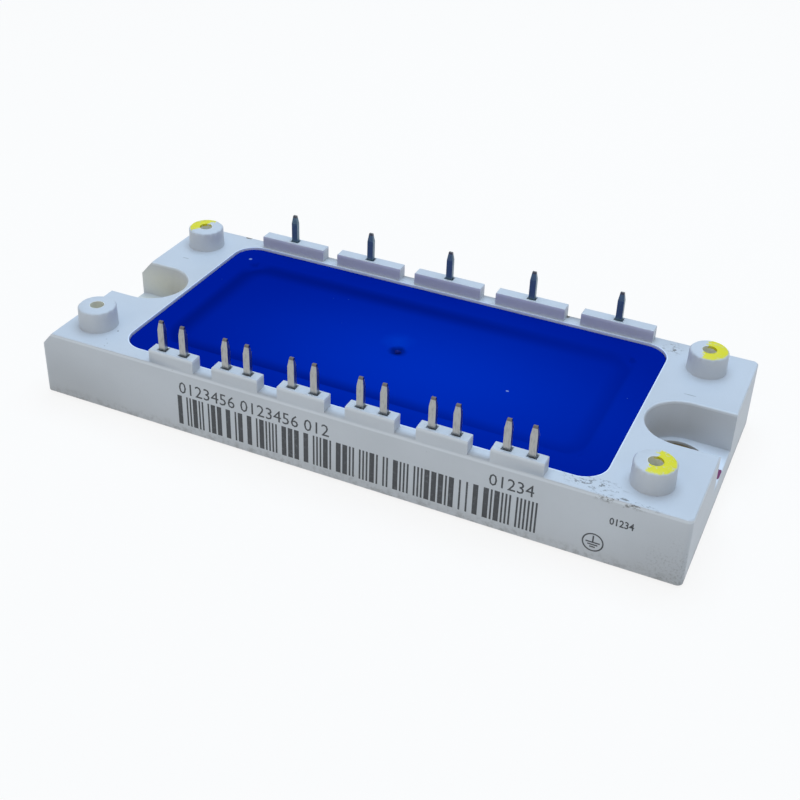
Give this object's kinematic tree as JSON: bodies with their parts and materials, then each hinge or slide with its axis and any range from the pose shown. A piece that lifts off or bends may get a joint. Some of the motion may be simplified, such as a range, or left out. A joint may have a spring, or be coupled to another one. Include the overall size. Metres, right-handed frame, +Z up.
{
  "type": "igbt module",
  "caption": "Flat six-pack power semiconductor module: pale moulded frame on a metal base plate, sunk blue lid, paired blade terminals, notched ends and board posts.",
  "frame": {"origin": "centre of the underside of the base plate", "axes": "+X along the length, +Y towards the row of power terminals, +Z up, out of the lid"},
  "size_m": [0.1076, 0.045, 0.0192],
  "materials": {
    "frame_plastic": "matt moulded",
    "lid_plastic": "satin moulded",
    "nickel_plated_copper": "satin nickel plating",
    "bush_metal": "dull, tarnished",
    "tinned_terminal": "satin tin plating",
    "sealant": "cured adhesive",
    "copper": "bare copper",
    "alumina": "sintered",
    "solder": "reflowed",
    "silicon": "metallised chip",
    "bond_aluminium": "drawn wire",
    "gel": "clear soft gel"
  },
  "bodies": {
    "root": {"housing_frame": "frame_plastic", "lid": "lid_plastic", "base_plate": "nickel_plated_copper", "frame_seal": "sealant", "mounting_bush_left": "bush_metal", "mounting_bush_right": "bush_metal", "silicone_gel": "gel", "control_pin_01": "tinned_terminal", "control_pin_02": "tinned_terminal", "control_pin_03": "tinned_terminal", "control_pin_04": "tinned_terminal", "control_pin_05": "tinned_terminal", "control_pin_06": "tinned_terminal", "control_pin_07": "tinned_terminal", "control_pin_08": "tinned_terminal", "control_pin_09": "tinned_terminal", "control_pin_10": "tinned_terminal", "control_pin_11": "tinned_terminal", "control_pin_12": "tinned_terminal", "power_pin_1": "tinned_terminal", "power_pin_2": "tinned_terminal", "power_pin_3": "tinned_terminal", "power_pin_4": "tinned_terminal", "power_pin_5": "tinned_terminal", "substrate_solder_1": "solder", "substrate_solder_2": "solder", "substrate_solder_3": "solder", "back_copper_1": "copper", "back_copper_2": "copper", "back_copper_3": "copper", "ceramic_1": "alumina", "ceramic_2": "alumina", "ceramic_3": "alumina", "copper_tracks_1": "copper", "copper_tracks_2": "copper", "copper_tracks_3": "copper", "chip_solder_1": "solder", "chip_solder_2": "solder", "chip_solder_3": "solder", "upper_igbt_1": "silicon", "upper_igbt_2": "silicon", "upper_igbt_3": "silicon", "upper_diode_1": "silicon", "upper_diode_2": "silicon", "upper_diode_3": "silicon", "lower_igbt_1": "silicon", "lower_igbt_2": "silicon", "lower_igbt_3": "silicon", "lower_diode_1": "silicon", "lower_diode_2": "silicon", "lower_diode_3": "silicon", "bond_wires_1": "bond_aluminium", "bond_wires_2": "bond_aluminium", "bond_wires_3": "bond_aluminium"}
  },
  "joints": []
}
